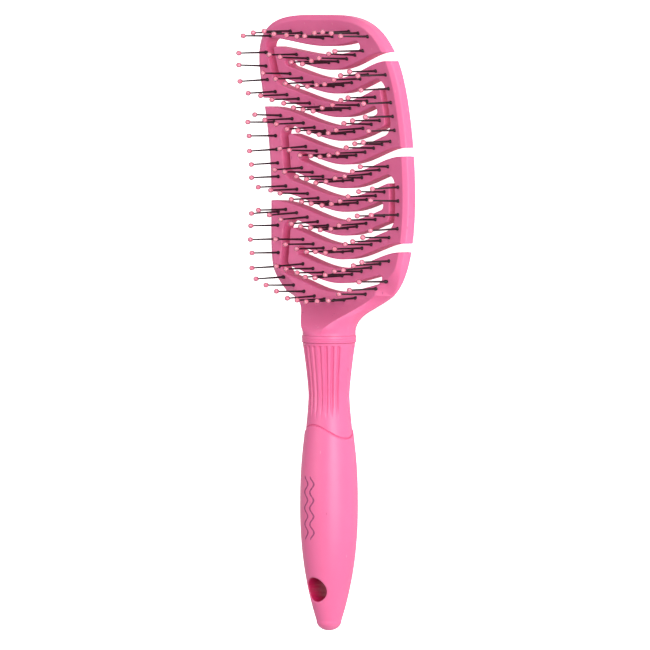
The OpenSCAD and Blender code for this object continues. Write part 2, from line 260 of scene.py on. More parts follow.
@dataclass(frozen=True)
class StrawPlastic(Finish):
    """Injection-moulded polypropylene filled with fine straw fibre, with painted shade inside the
    hanging hole.
    """

    body: str = "#E972A0"
    deep: str = "#DB5E90"
    fibre: str = "#A8466F"
    husk: str = "#F6B6CC"
    rough: float = 0.42
    grain_mm: float = 0.35
    fleck_mm: float = 1.5
    fleck_share: float = 0.05
    # Painted shade inside the hanging hole: its deep crimson, the radius from the hole's axis that
    # it reaches, and the run over which it fades.
    bore_shade: str = "#B2154C"
    bore_shade_mm: float = 4.65
    bore_shade_soft_mm: float = 0.35
    cloud_mm: float = 22.0
    stretch: float = 0.35

    def paint(self, nodes: Nodes, point: bpy.types.NodeSocket) -> dict[str, object]:
        """Gives the inputs of the principled shader. See Finish.paint."""
        flow = nodes.add("Mapping", None, Vector=point, Scale=(self.stretch, 1.0, 1.0)).outputs[0]
        cloud = nodes.noise(flow, self.cloud_mm, 3.0, 0.55)
        base = nodes.mix(nodes.ramp(cloud, 0.3, 0.7), linear(self.body), linear(self.deep))
        base = nodes.mix(0.55, linear(self.body), base)
        fleck = nodes.add(
            "TexVoronoi", {"feature": "F1"}, Vector=flow, Scale=1 / (self.fleck_mm * MM)
        )
        chance = nodes.add("SeparateColor", None, Color=fleck.outputs["Color"]).outputs
        size = nodes.ramp(fleck.outputs["Distance"], 0.2, 0.12)
        for draw, share, strength, colour in (
            (chance[0], self.fleck_share, 0.6, self.fibre),
            (chance[1], self.fleck_share * 2, 0.22, self.husk),
        ):
            picked = nodes.add("Math", {"operation": "LESS_THAN"}, _0=draw, _1=share).outputs[0]
            mask = nodes.add("Math", {"operation": "MULTIPLY"}, _0=picked, _1=size).outputs[0]
            base = nodes.mix(nodes.grade(mask, 0, strength), base, linear(colour))
        # Painted shade: the plastic turns deep crimson within the bore radius of the hanging
        # hole's axis, standing in for the shade inside the hole.
        flat = nodes.add("Mapping", None, Vector=point, Scale=(1.0, 1.0, 0.0)).outputs[0]
        away = nodes.add("VectorMath", {"operation": "LENGTH"}, _0=flat).outputs["Value"]
        bore_shade = nodes.ramp(away, (self.bore_shade_mm + self.bore_shade_soft_mm) * MM, self.bore_shade_mm * MM)
        base = nodes.mix(bore_shade, base, linear(self.bore_shade))
        grain = nodes.noise(point, self.grain_mm, 2.0)
        bump = nodes.add("Bump", None, Strength=0.06, Distance=0.02 * MM, Height=grain)
        flow_bump = nodes.add(
            "Bump", None, Strength=0.1, Distance=0.08 * MM, Height=cloud, Normal=bump.outputs[0]
        )
        return {
            "Base_Color": base,
            "Roughness": nodes.grade(grain, self.rough - 0.05, self.rough + 0.06),
            "IOR": 1.49,
            "Specular_IOR_Level": 0.5,
            "Subsurface_Weight": 0.12,
            "Subsurface_Radius": (1.0, 0.25, 0.4),
            "Subsurface_Scale": 1.2 * MM,
            "Normal": flow_bump.outputs[0],
        }


@dataclass(frozen=True)
class DrawnNylon(Finish):
    """Black nylon pins, drawn lengthwise, with a plum tint where light passes."""

    body: str = "#0D070A"
    tint: str = "#241018"
    rough: float = 0.42
    grain_mm: float = 0.25

    def paint(self, nodes: Nodes, point: bpy.types.NodeSocket) -> dict[str, object]:
        """Gives the inputs of the principled shader. See Finish.paint."""
        along = nodes.add("Mapping", None, Vector=point, Scale=(1.0, 1.0, 0.12)).outputs[0]
        draw = nodes.noise(along, self.grain_mm, 2.0)
        bump = nodes.add("Bump", None, Strength=0.12, Distance=0.02 * MM, Height=draw)
        base = nodes.mix(nodes.ramp(draw, 0.35, 0.7), linear(self.body), linear(self.tint))
        return {
            "Base_Color": base,
            "Roughness": nodes.grade(draw, self.rough - 0.06, self.rough + 0.1),
            "IOR": 1.53,
            "Normal": bump.outputs[0],
        }


@dataclass(frozen=True)
class DippedResin(Finish):
    """Clear pink resin dipped onto a pin end in a small ball, with painted shade round its
    outline.
    """

    body: str = "#EC8DA6"
    # Painted shade: colour laid round the outline of the ball, where it turns away from the view.
    rim_shade: str = "#7A2340"
    cloud_mm: float = 1.3

    def paint(self, nodes: Nodes, point: bpy.types.NodeSocket) -> dict[str, object]:
        """Gives the inputs of the principled shader. See Finish.paint."""
        facing = nodes.add("LayerWeight", None, Blend=0.45).outputs["Facing"]
        cloud = nodes.noise(point, self.cloud_mm, 1.5)
        bump = nodes.add("Bump", None, Strength=0.1, Distance=0.05 * MM, Height=cloud)
        # Painted shade: the ball darkens towards its outline as it turns away from the view,
        # standing in for the dark rim of the tip.
        edge = nodes.ramp(facing, 0.3, 0.65)
        return {
            "Base_Color": nodes.mix(edge, linear(self.body), linear(self.rim_shade)),
            "Roughness": nodes.grade(cloud, 0.1, 0.2),
            "IOR": 1.5,
            "Transmission_Weight": 0.15,
            "Subsurface_Weight": 0.5,
            "Subsurface_Radius": (1.0, 0.35, 0.4),
            "Subsurface_Scale": 0.5 * MM,
            "Coat_Weight": 0.6,
            "Coat_Roughness": 0.05,
            "Normal": bump.outputs[0],
        }


@dataclass(frozen=True)
class PadInk(Finish):
    """Mauve pad-printing ink, slightly worn."""

    body: str = "#8E3D66"
    worn: str = "#C4608F"
    wear_mm: float = 0.6

    def paint(self, nodes: Nodes, point: bpy.types.NodeSocket) -> dict[str, object]:
        """Gives the inputs of the principled shader. See Finish.paint."""
        wear = nodes.noise(point, self.wear_mm, 4.0)
        patch = nodes.ramp(wear, 0.5, 0.75)
        return {
            "Base_Color": nodes.mix(patch, linear(self.body), linear(self.worn)),
            "Roughness": nodes.grade(wear, 0.35, 0.55),
        }


@dataclass(frozen=True)
class LightTable(Finish):
    """Opal sheet, lit faintly from below, that the brush lies on."""

    body: str = "#F7F4F4"
    glow: float = 0.12
    seen_glow: float = 1.2

    def paint(self, nodes: Nodes, point: bpy.types.NodeSocket) -> dict[str, object]:
        """Gives the inputs of the principled shader. See Finish.paint."""
        seen = nodes.add("LightPath").outputs["Is Camera Ray"]
        return {
            "Base_Color": linear(self.body),
            "Roughness": 0.6,
            "Emission_Color": linear(self.body),
            "Emission_Strength": nodes.grade(seen, self.glow, self.seen_glow),
        }


# ---------------------------------------------------------------- mesh tools


def place_new(name: str, data: bpy.types.ID) -> bpy.types.Object:
    """Makes an object from its data and puts it in the scene."""
    obj = bpy.data.objects.new(name, data)
    bpy.context.scene.collection.objects.link(obj)
    return obj


def piece(
    name: str,
    bm: bmesh.types.BMesh,
    datum: Datum,
    material: bpy.types.Material,
    nodes: Sequence[str] = (),
    crease: float = 32.0,
    turned: bool = True,
) -> bpy.types.Object:
    """Turns a mesh in brush millimetres into a finished visual piece.

    Args:
        name: name of the new object.
        bm: the mesh; it is freed.
        datum: where the brush lies in the row frame.
        material: the finish.
        nodes: CAD nodes that the piece stands for.
        crease: edges sharper than this many degrees stay sharp.
        turned: whether to work out afresh which way the faces look.

    Returns:
        The new object, riding on the root body.
    """
    if turned:
        bmesh.ops.recalc_face_normals(bm, faces=bm.faces)
    for vert in bm.verts:
        vert.co = datum.world(vert.co.x, vert.co.y, vert.co.z)
    bmesh.ops.reverse_faces(bm, faces=bm.faces)
    limit = math.radians(crease)
    for face in bm.faces:
        face.smooth = True
    for edge in bm.edges:
        if len(edge.link_faces) == 2:
            edge.smooth = edge.calc_face_angle(0.0) < limit
    mesh = bpy.data.meshes.new(name)
    bm.to_mesh(mesh)
    bm.free()
    obj = place_new(name, mesh)
    mesh.materials.append(material)
    for polygon in mesh.polygons:
        polygon.material_index = 0
    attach(obj, "root")
    if nodes:
        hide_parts(*nodes)
    LOG.info("%s: %d faces", name, len(mesh.polygons))
    return obj


def wrapped_skin(rings: int, around: int, place: Place) -> bmesh.types.BMesh:
    """Wraps a grid round an axis.

    Args:
        rings: faces along the axis.
        around: faces round the axis.
        place: gives the point for a share along the axis and an angle round it.

    Returns:
        The closed skin, with its seam merged.
    """
    bm = bmesh.new()
    bmesh.ops.create_grid(bm, x_segments=rings, y_segments=around, size=0.5)
    for vert in bm.verts:
        vert.co = place(vert.co.x + 0.5, (vert.co.y + 0.5) * TAU)
    bmesh.ops.remove_doubles(bm, verts=bm.verts, dist=1e-4)
    bmesh.ops.recalc_face_normals(bm, faces=bm.faces)
    return bm


def turned_template(profile: Sequence[tuple[float, float]], steps: int) -> bpy.types.Mesh:
    """Spins a side profile about the z axis.

    Args:
        profile: radius and height of each point, from the bottom up.
        steps: faces round the axis.

    Returns:
        A mesh to copy from.
    """
    bm = bmesh.new()
    verts = [bm.verts.new((radius, 0.0, height)) for radius, height in profile]
    edges = [bm.edges.new(pair) for pair in zip(verts, verts[1:])]
    bmesh.ops.spin(
        bm,
        geom=verts + edges,
        cent=(0, 0, 0),
        axis=(0, 0, 1),
        angle=TAU,
        steps=steps,
        use_merge=True,
        use_duplicate=False,
    )
    bmesh.ops.remove_doubles(bm, verts=bm.verts, dist=1e-4)
    mesh = bpy.data.meshes.new("template")
    bm.to_mesh(mesh)
    bm.free()
    return mesh


def carve(bm: bmesh.types.BMesh, cutter: bmesh.types.BMesh) -> None:
    """Cuts one mesh out of another. The cutter is freed.

    Args:
        bm: the mesh that is cut, changed in place.
        cutter: the mesh to take away; its own shells may overlap.
    """
    holders = []
    for name, source in (("work", bm), ("cutter", cutter)):
        bmesh.ops.recalc_face_normals(source, faces=source.faces)
        mesh = bpy.data.meshes.new(name)
        source.to_mesh(mesh)
        for _ in range(2):
            mesh.materials.append(None)
        holders.append(place_new(name, mesh))
    cutter.free()
    work, tool = holders
    cut = work.modifiers.new("cut", "BOOLEAN")
    cut.operation = "DIFFERENCE"
    cut.solver = "EXACT"
    cut.use_self = True
    cut.object = tool
    bpy.context.view_layer.update()
    result = bpy.data.meshes.new_from_object(
        work.evaluated_get(bpy.context.evaluated_depsgraph_get())
    )
    bm.clear()
    bm.from_mesh(result)
    for obj in holders:
        mesh = obj.data
        bpy.data.objects.remove(obj)
        bpy.data.meshes.remove(mesh)
    bpy.data.meshes.remove(result)


# ---------------------------------------------------------------- head


@dataclass(frozen=True)
class Dish:
    """Ball surface of the face and the back of the head."""

    radius: float = 175.0
    drop: float = 8.0
    low_x: float = 169.0
    thick: float = 6.0

    def z(self, x: float, u: float, depth: float = 0.0) -> float:
        """Height of the surface that lies a depth below the face."""
        ball = self.radius + depth
        return self.radius - self.drop - math.sqrt(ball * ball - (x - self.low_x) ** 2 - u * u)


class Wall(Enum):
    """Kinds of wall round the head plan."""

    RIM = 0
    SLOT = 1


Corner = tuple[float, float, Wall]


@dataclass(frozen=True)
class HeadPlan:
    """Outline of the head, seen along the pins, and the profile of its rim."""

    top: float = 240.0
    half: float = 37.5
    top_mid: float = 200.0
    low_mid: float = 185.0
    low_len: float = 58.0
    top_square: float = 3.5
    low_square: float = 4.5
    cut: float = 131.4
    rim: float = 2.0
    rim_deep: float = 1.6
    low_rim: float = 6.4
    low_rim_deep: float = 3.9
    low_rim_run: float = 10.5
    under: float = 14.0
    crease: float = 0.28
    back_round: float = 1.3

    def side(self, x: float) -> float:
        """Half width at a distance along the brush."""
        if x > self.top_mid:
            share, power = (x - self.top_mid) / (self.top - self.top_mid), self.top_square
        else:
            share, power = max(0.0, self.low_mid - x) / self.low_len, self.low_square
        return self.half * (1 - min(1.0, share) ** power) ** (1 / power)

    def rim_at(self, x: float) -> tuple[float, float]:
        """Width and depth of the rim chamfer at a distance along the brush."""
        grow = smooth((self.cut + self.low_rim_run - x) / self.low_rim_run)
        wide = self.rim + (self.low_rim - self.rim) * grow
        return wide, self.rim_deep + (self.low_rim_deep - self.rim_deep) * grow

    def rim_profile(self, x: float, thick: float) -> list[tuple[float, float]]:
        """Inset and depth of every level of the rim, from the face to the back."""
        wide, deep = self.rim_at(x)
        c, r = self.crease, self.back_round
        levels = [(wide + c, 0.0), (wide + 0.02, 0.04), (wide - c, c * deep / wide)]
        levels += [(c * wide / deep, deep - c), (0.09, deep + 0.02), (0.0, deep + c)]
        for k in range(5):
            a = math.pi / 2 * k / 4
            levels.append((r * (1 - math.cos(a)), thick - r + r * math.sin(a)))
        return levels

    def right_side(self) -> list[tuple[float, float]]:
        """Outline of one side, from well below the cut to the middle of the top."""
        points = [(self.cut - self.under, self.side(self.cut))]
        last = math.asin(((self.low_mid - self.cut) / self.low_len) ** (self.low_square / 2))
        for k in range(22, -1, -1):
            share = math.sin(last * k / 22) ** (2 / self.low_square)
            x = self.low_mid - self.low_len * share
            points.append((x, self.side(x)))
        for k in range(0, 41):
            share = math.sin(math.pi / 2 * k / 40) ** (2 / self.top_square)
            x = self.top_mid + (self.top - self.top_mid) * share
            points.append((x, self.side(x)))
        return points


@dataclass(frozen=True)
class SlotPattern:
    """The wavy slots: odd ones open at a side, even ones run on into one another."""

    count: int = 11
    pitch: float = 9.23
    width: float = 3.3
    first: float = 226.1
    rise: float = 7.2
    reach: float = 35.5
    side_u: float = 28.5
    bend: float = 3.6
    blind: float = 21.0
    first_flat: float = 0.55
    last_flat: float = 0.72
    first_end: float = 18.0
    last_end: float = 23.5
    step: float = 1.15
    front_round: float = 0.5
    back_round: float = 0.6
    mouth_gap: float = 3.1
    front_angles: tuple[float, ...] = (0, 0.52, 1.05, 1.571)
    bend_pull: float = 0.55

    def wave(self, u: float) -> float:
        """Rise of the wave at a distance from the middle."""
        return self.rise * (1 - math.cos(math.pi * min(abs(u), self.reach) / self.reach)) / 2

    def line(self, index: int, u: float) -> float:
        """Middle of a slot at a distance from the middle of the head."""
        flat = 1.0
        if index == 0:
            flat = self.first_flat
        elif index == self.count - 1 and u > 0:
            flat = self.last_flat
        return self.first - index * self.pitch + self.wave(u) * flat

    def opening(self, index: int) -> Side:
        """Side that a slot opens at."""
        return {1: Side.RIGHT, 3: Side.LEFT}.get(index % 4, Side.NONE)

    def profile(self, thick: float) -> list[tuple[float, float]]:
        """Inset and depth of every level of a slot wall, from the face to the back."""
        r, b = self.front_round, self.back_round
        levels = [(r * (1 - math.sin(a)), r * (1 - math.cos(a))) for a in self.front_angles]
        levels += [(0.0, thick * 0.3), (0.0, thick * 0.6)]
        for k in range(5):
            a = math.pi / 2 * k / 4
            levels.append((b * (1 - math.cos(a)), thick - b + b * math.sin(a)))
        return levels

    def inset_at(self, depth: float, thick: float) -> float:
        """Inset of a slot wall at a depth."""
        levels = self.profile(thick)
        for (i0, d0), (i1, d1) in zip(levels, levels[1:]):
            if depth <= d1:
                return i0 + (i1 - i0) * (depth - d0) / max(1e-6, d1 - d0)
        return levels[-1][0]

    def round_end(self, middle: Vector, heading: Vector) -> list[Vector]:
        """Points round the end of a slot, from its right to its left.

        Args:
            middle: where the middle line ends.
            heading: direction in which it ends.

        Returns:
            Points between the two edges.
        """
        across = Vector((-heading.y, heading.x))
        half = self.width / 2
        return [
            middle + (across * -math.cos(a) + heading * math.sin(a)) * half
            for a in (math.pi * k / 9 for k in range(1, 9))
        ]

    def band(self, line: Sequence[Vector], first_round: bool) -> list[Vector]:
        """Closed band round a middle line, or one open at its first end.

        Args:
            line: the middle line.
            first_round: whether the first end is rounded too.

        Returns:
            Points of the right edge, the far end and the left edge.
        """
        half, last = self.width / 2, len(line) - 1
        heads = [
            (line[min(last, k + 1)] - line[max(0, k - 1)]).normalized() for k in range(last + 1)
        ]
        shift = [Vector((-h.y, h.x)) * half for h in heads]
        right = [p - s for p, s in zip(line, shift)]
        left = [p + s for p, s in zip(line, shift)]
        points = right + self.round_end(line[-1], heads[-1]) + left[::-1]
        return points + (self.round_end(line[0], -heads[0]) if first_round else [])

    def inlet(self, index: int, mouth: Callable[[float], float]) -> list[Vector]:
        """Edge of a slot that opens at a side, from mouth to mouth.

        Args:
            index: which slot.
            mouth: half width of the head at a distance along the brush.

        Returns:
            Points that start and end on the outline.
        """
        way = self.opening(index).value
        start = way * (mouth(self.line(index, self.reach)) - self.mouth_gap)
        stop = -way * self.blind
        count = math.ceil(abs(stop - start) / self.step)
        us = [start + (stop - start) * k / count for k in range(count + 1)]
        points = self.band([Vector((self.line(index, u), u)) for u in us], False)
        ends = []
        for x in (points[0].x, points[-1].x):
            ends.append(Vector((x, way * mouth(x))))
        return [ends[0]] + points + [ends[1]]

    def serpentine(self) -> list[Vector]:
        """Edge of the even slots, which form one long band."""
        line: list[Vector] = []
        for index in range(0, self.count, 2):
            way = -1 if index % 4 == 0 else 1
            start = self.first_end if index == 0 else -way * (self.side_u - self.bend)
            stop = self.last_end if index == self.count - 1 else way * (self.side_u - self.bend)
            count = math.ceil(abs(stop - start) / self.step)
            for k in range(count + 1):
                u = start + (stop - start) * k / count
                line.append(Vector((self.line(index, u), u)))
            if index < self.count - 1:
                line += self.link(index, way * self.side_u)
        return self.band(line, True)

    def link(self, index: int, u: float) -> list[Vector]:
        """Bends and straight between an even slot and the next."""
        points = []
        down = Vector((self.bend, 0))
        for row, first in ((index, True), (index + 2, False)):
            knee = Vector((self.line(row, u), u))
            inner = u - math.copysign(self.bend, u)
            near = Vector((self.line(row, inner), inner))
            start, stop = (near, knee - down) if first else (knee + down, near)
            arc = []
            for k in range(0, 9):
                t = k / 8
                a, b = start.lerp(knee, self.bend_pull), stop.lerp(knee, self.bend_pull)
                point = start * (1 - t) ** 3 + a * (3 * t * (1 - t) ** 2)
                arc.append(point + b * (3 * t * t * (1 - t)) + stop * t**3)
            points += arc[1:] if first else arc[:-1]
        return points


@dataclass(frozen=True)
class Neck:
    """Neck that leads from the flat head to the round handle."""

    end_x: float = 115.45
    start_x: float = 116.4
    radius: float = 10.4
    flat_half: float = 4.2
    top_z: float = 10.1
    back_z: float = -10.35
    middle_drop: float = 5.4
    round_lead: float = 2.2
    round_run: float = 2.6
    blend_run: float = 9.0
    side_share: float = 0.24
    steps: int = 22

    def roundness(self, x: float) -> float:
        """Share by which the section is already as round as the ring."""
        return smooth((self.start_x + self.round_lead - x) / self.round_run)

    def share(self, x: float, plan: HeadPlan) -> float:
        """Share of the way from the ring to the head."""
        return max(0.0, min(1.0, (x - self.start_x) / (plan.cut - self.start_x)))

    def half(self, x: float, plan: HeadPlan) -> float:
        """Half width of the neck."""
        s = self.share(x, plan)
        return self.radius + (plan.side(plan.cut) - self.radius) * (1.2 * s**2.1 - 0.2 * s**5)

    def lift(self, x: float, plan: HeadPlan, dish: Dish) -> float:
        """How far the ramp rises above the dish at the cut."""
        rise = self.top_z - dish.z(plan.cut, 0)
        return rise * smooth(1 - self.share(x, plan))

    def face_z(self, x: float, u: float, plan: HeadPlan, dish: Dish) -> float:
        """Height of the front, dish and ramp together."""
        if x >= plan.cut:
            return dish.z(x, u)
        s = self.share(x, plan)
        curve = (dish.z(plan.cut, u) - dish.z(plan.cut, 0)) * s
        return dish.z(plan.cut, 0) + curve + self.lift(x, plan, dish)


@dataclass(frozen=True)
class Opening:
    """Section that the cut leaves: half widths of all and of the front, rim depth share."""

    half: float
    flat: float
    deep: float

    def on_rim(self, u: float, q: float) -> float | None:
        """Share of the way down the rim chamfer, or None past it."""
        if q > self.deep + SLACK:
            return None
        return min(1.0, max(0.0, (u - self.flat) / (self.half - self.flat)))


@dataclass(frozen=True)
class Section:
    """Section of the neck at a station: half widths, middle heights and bow."""

    half: float
    flat: float
    front_z: float
    back_z: float
    bow: float


@dataclass
class Head:
    """The moulded head, its pin plate and the neck."""

    datum: Datum
    dish: Dish
    plan: HeadPlan
    slots: SlotPattern
    neck: Neck
    grid: float = 2.8
    mouth_clear: float = 0.8

    def outer_loop(self) -> list[Corner]:
        """Outline with the slots that open at a side, each edge with its kind of wall."""
        plan, slots = self.plan, self.slots
        right = plan.right_side()
        corners: list[Corner] = []
        for side in (Side.RIGHT, Side.LEFT):
            way = side.value
            parts: list[tuple[float, list[Corner]]] = []
            numbers = [i for i in range(slots.count) if slots.opening(i) is side]
            edges = [slots.inlet(i, plan.side) for i in numbers]
            for edge in edges:
                if way * (edge[-1].x - edge[0].x) < 0:
                    edge.reverse()
                part = [(p.x, p.y, Wall.SLOT) for p in edge]
                part[-1] = (edge[-1].x, edge[-1].y, Wall.RIM)
                parts.append((edge[0].x * way, part))
            for x, u in right if side is Side.RIGHT else right[-2::-1]:
                reach = slots.width / 2 + self.mouth_clear
                if all(abs(x - (e[0].x + e[-1].x) / 2) > reach for e in edges):
                    parts.append((x * way, [(x, u * way, Wall.RIM)]))
            for _, part in sorted(parts, key=lambda p: p[0]):
                corners += part
        return corners

    def level(self, corners: Sequence[Corner], number: int) -> list[Vector]:
        """One ring of the walls round a loop of the plan.

        Args:
            corners: the loop, with the material on the side of (du, -dx).
            number: which level, counted from the face.

        Returns:
            A point for every corner; its z is minus the depth below the face.
        """
        thick = self.dish.thick
        ring = []
        for i, (x, u, kind) in enumerate(corners):
            px, pu, before = corners[i - 1]
            nx, nu, _ = corners[(i + 1) % len(corners)]
            a = Vector((u - pu, px - x)).normalized()
            b = Vector((nu - u, x - nx)).normalized()
            rim = self.plan.rim_profile(x, thick)[number]
            cut = self.slots.profile(thick)[number]
            depth = cut[1] if kind is before is Wall.SLOT else rim[1]
            mouth = self.slots.inset_at(rim[1], thick)
            insets = []
            for wall in (before, kind):
                if wall is Wall.RIM:
                    insets.append(rim[0])
                else:
                    insets.append(cut[0] if kind is before else mouth)
            det = a.x * b.y - a.y * b.x
            if abs(det) < 0.25 or kind is before:
                move = (a + b).normalized() * (sum(insets) / 2) / max(0.6, (a + b).length / 2)
            else:
                first, second = insets
                move = Vector((first * b.y - second * a.y, second * a.x - first * b.x)) / det
            ring.append(Vector((x + move.x, u + move.y, -depth)))
        return ring

    def slab(self) -> bmesh.types.BMesh:
        """Flat slab with its slots, rim chamfer and rounded edges.

        Returns:
            The closed mesh, flat. Faces of the front have material index 1.
        """
        bm = bmesh.new()
        hole = [(p.x, p.y, Wall.SLOT) for p in self.slots.serpentine()]
        loops = [self.outer_loop(), hole]
        turns = [
            sum(p[0] * q[1] - q[0] * p[1] for p, q in zip(c, c[1:] + c[:1])) for c in loops
        ]
        if turns[1] * turns[0] > 0:
            loops[1].reverse()
        mark = bm.verts.layers.int.new("corner")
        walls, fronts = [], []
        last = len(self.slots.profile(self.dish.thick)) - 1
        for loop in loops:
            ring = [bm.verts.new(p) for p in self.level(loop, 0)]
            for i, vert in enumerate(ring):
                vert[mark] = i
            walls.append([bm.edges.new(pair) for pair in zip(ring, ring[1:] + ring[:1])])
        for k in range(last + 1):
            if k:
                for number, loop in enumerate(loops):
                    grown = bmesh.ops.extrude_edge_only(bm, edges=walls[number])["geom"]
                    points = self.level(loop, k)
                    for vert in [g for g in grown if isinstance(g, bmesh.types.BMVert)]:
                        vert.co = points[vert[mark]]
                    walls[number] = [g for g in grown if isinstance(g, bmesh.types.BMEdge)]
            if k in (0, last):
                filled = bmesh.ops.triangle_fill(
                    bm, use_beauty=True, use_dissolve=False, edges=walls[0] + walls[1]
                )["geom"]
                if k == 0:
                    fronts = [g for g in filled if isinstance(g, bmesh.types.BMFace)]
        bmesh.ops.recalc_face_normals(bm, faces=bm.faces)
        for face in fronts:
            face.material_index = 1
        return bm

    def grid_cut(self, bm: bmesh.types.BMesh) -> None:
        """Slices the slab into a grid fine enough to follow the dish."""
        cuts = []
        x = self.plan.cut + self.grid
        while x < self.plan.top:
            cuts.append(((x, 0, 0), (1, 0, 0)))
            x += self.grid
        u = -self.plan.half + self.grid / 2
        while u < self.plan.half:
            cuts.append(((0, u, 0), (0, 1, 0)))
            u += self.grid
        for point, normal in cuts:
            geom = bm.verts[:] + bm.edges[:] + bm.faces[:]
            bmesh.ops.bisect_plane(bm, geom=geom, dist=1e-4, plane_co=point, plane_no=normal)
        geom = bm.verts[:] + bm.edges[:] + bm.faces[:]
        bmesh.ops.bisect_plane(
            bm,
            geom=geom,
            dist=1e-4,
            plane_co=(self.plan.cut, 0, 0),
            plane_no=(1, 0, 0),
            clear_inner=True,
        )

    def open_loop(self, bm: bmesh.types.BMesh) -> list[bmesh.types.BMEdge]:
        """Edges of the opening that the cut at the neck leaves."""
        return [e for e in bm.edges if len(e.link_faces) == 1]

    def grow_neck(self, bm: bmesh.types.BMesh) -> None:
        """Extrudes the opening ring by ring until it is round and meets the ring."""
        plan, neck, thick = self.plan, self.neck, self.dish.thick
        half, (rim, deep) = plan.side(plan.cut), plan.rim_at(plan.cut)
        opening = Opening(half, half - rim, deep / thick)
        mark = bm.verts.layers.float_vector.new("flat")
        loop = self.open_loop(bm)
        for vert in {v for e in loop for v in e.verts}:
            vert[mark] = vert.co.copy()
        edges = loop
        for k in range(1, neck.steps + 1):
            x = plan.cut + (neck.end_x - plan.cut) * k / neck.steps
            grown = bmesh.ops.extrude_edge_only(bm, edges=edges)["geom"]
            edges = [g for g in grown if isinstance(g, bmesh.types.BMEdge)]
            for vert in [g for g in grown if isinstance(g, bmesh.types.BMVert)]:
                _, u0, t0 = vert[mark]
                vert.co = self.neck_point(x, u0, -t0 / thick, opening)
                vert.co.z += NECK_MARK
        bmesh.ops.edgeloop_fill(bm, edges=edges)

    def section(self, x: float, opening: Opening) -> Section:
        """Works out the neck at a station.

        Args:
            x: the station.
            opening: the section at the cut.

        Returns:
            The section at the station.
        """
        plan, neck = self.plan, self.neck
        s = neck.share(x, plan)
        back_cut = self.dish.z(plan.cut, 0, self.dish.thick)
        return Section(
            neck.half(x, plan),
            neck.flat_half + (opening.flat - neck.flat_half) * s**1.2,
            neck.face_z(x, 0, plan, self.dish),
            neck.back_z + (back_cut - neck.back_z) * smooth(s),
            s / (2 * self.dish.radius),
        )

    def neck_point(self, x: float, u0: float, q0: float, opening: Opening) -> Vector:
        """Where a point of the opening lies at a station of the neck.

        Args:
            x: the station.
            u0: the point's distance across, at the cut.
            q0: its depth below the face there, as a share of the thickness.
            opening: the section at the cut.

        Returns:
            The point, in brush millimetres.
        """
        plan, neck, here = self.plan, self.neck, self.section(x, opening)
        if q0 < ON_FRONT and abs(u0) <= opening.flat + 0.05:
            u = u0 / opening.flat * here.flat
            z = here.front_z + u * u * here.bow
            full = math.sqrt(max(0.0, neck.radius**2 - u * u))
            return Vector((x, u, z + (full - z) * neck.roundness(x)))
        eased = smooth(neck.share(x, plan))
        middle = -neck.middle_drop * eased
        ridge = here.front_z + here.flat * here.flat * here.bow
        tall = (ridge - middle) / math.sqrt(1 - (here.flat / here.half) ** 2)
        tall += (neck.radius - tall) * neck.roundness(x)
        share = opening.on_rim(abs(u0), q0)
        if share is not None:
            angle = math.acos(here.flat / here.half) * (1 - share)
            across, z = here.half * math.cos(angle), middle + tall * math.sin(angle)
        else:
            angle = self.back_share(abs(u0), q0, opening) * math.pi / 2
            power = 1 - 0.35 * eased
            across = here.half * max(0.0, math.cos(angle)) ** power
            down = max(0.0, math.sin(angle)) ** power
            z = middle - (middle - here.back_z) * down + across**2 * here.bow * down
        bulge = Vector((x, math.copysign(across, u0), z))
        lean = self.scaled_point(x, u0, q0, opening, here)
        return lean.lerp(bulge, smooth((plan.cut - x) / neck.blend_run))

    def back_share(self, u0: float, q0: float, opening: Opening) -> float:
        """Share of the way from the side of the opening to the middle of its back."""
        side = self.neck.side_share
        if q0 < ON_BACK:
            return side * (q0 - opening.deep) / (1 - opening.deep)
        return side + (1 - side) * max(0.0, 1 - u0 / opening.half) ** 0.9

    def scaled_point(
        self, x: float, u0: float, q0: float, opening: Opening, here: Section
    ) -> Vector:
        """The point of the opening, only narrowed and thickened to a station.

        Args:
            x: the station.
            u0: distance across at the cut.
            q0: depth share at the cut.
            opening: the section at the cut.
            here: the section at the station.

        Returns:
            The point, in brush millimetres.
        """
        wide = abs(u0)
        if q0 <= opening.deep + SLACK and wide > opening.flat:
            share = (wide - opening.flat) / (opening.half - opening.flat)
            u = here.flat + share * (here.half - here.flat)
        else:
            u = wide / opening.half * here.half
        z = here.front_z + (here.back_z - here.front_z) * q0 + u * u * here.bow
        return Vector((x, math.copysign(u, u0), z))

    def bend(self, bm: bmesh.types.BMesh) -> None:
        """Bends the flat slab onto the dish; neck points already lie right."""
        for vert in bm.verts:
            if vert.co.z > NECK_MARK / 2:
                vert.co.z -= NECK_MARK
            else:
                vert.co.z = self.dish.z(vert.co.x, vert.co.y, -vert.co.z)

    def build(self, plastic: bpy.types.Material) -> list[bpy.types.Object]:
        """Builds the head and splits off the pin plate.

        Args:
            plastic: finish of the moulding.

        Returns:
            The head frame and the pin plate.
        """
        bm = self.slab()
        self.grid_cut(bm)
        self.grow_neck(bm)
        self.bend(bm)
        bmesh.ops.remove_doubles(bm, verts=bm.verts, dist=0.003)
        bmesh.ops.recalc_face_normals(bm, faces=bm.faces)
        plate = bm.copy()
        for mesh, is_front in ((bm, True), (plate, False)):
            extra = [f for f in mesh.faces if (f.material_index == 1) is is_front]
            bmesh.ops.delete(mesh, geom=extra, context="FACES")
        return [
            piece(name, mesh, self.datum, plastic, [node], turned=False)
            for name, mesh, node in (
                ("head_moulding", bm, "head_frame"),
                ("pin_plate_face", plate, "pin_plate"),
            )
        ]


# ---------------------------------------------------------------- pins


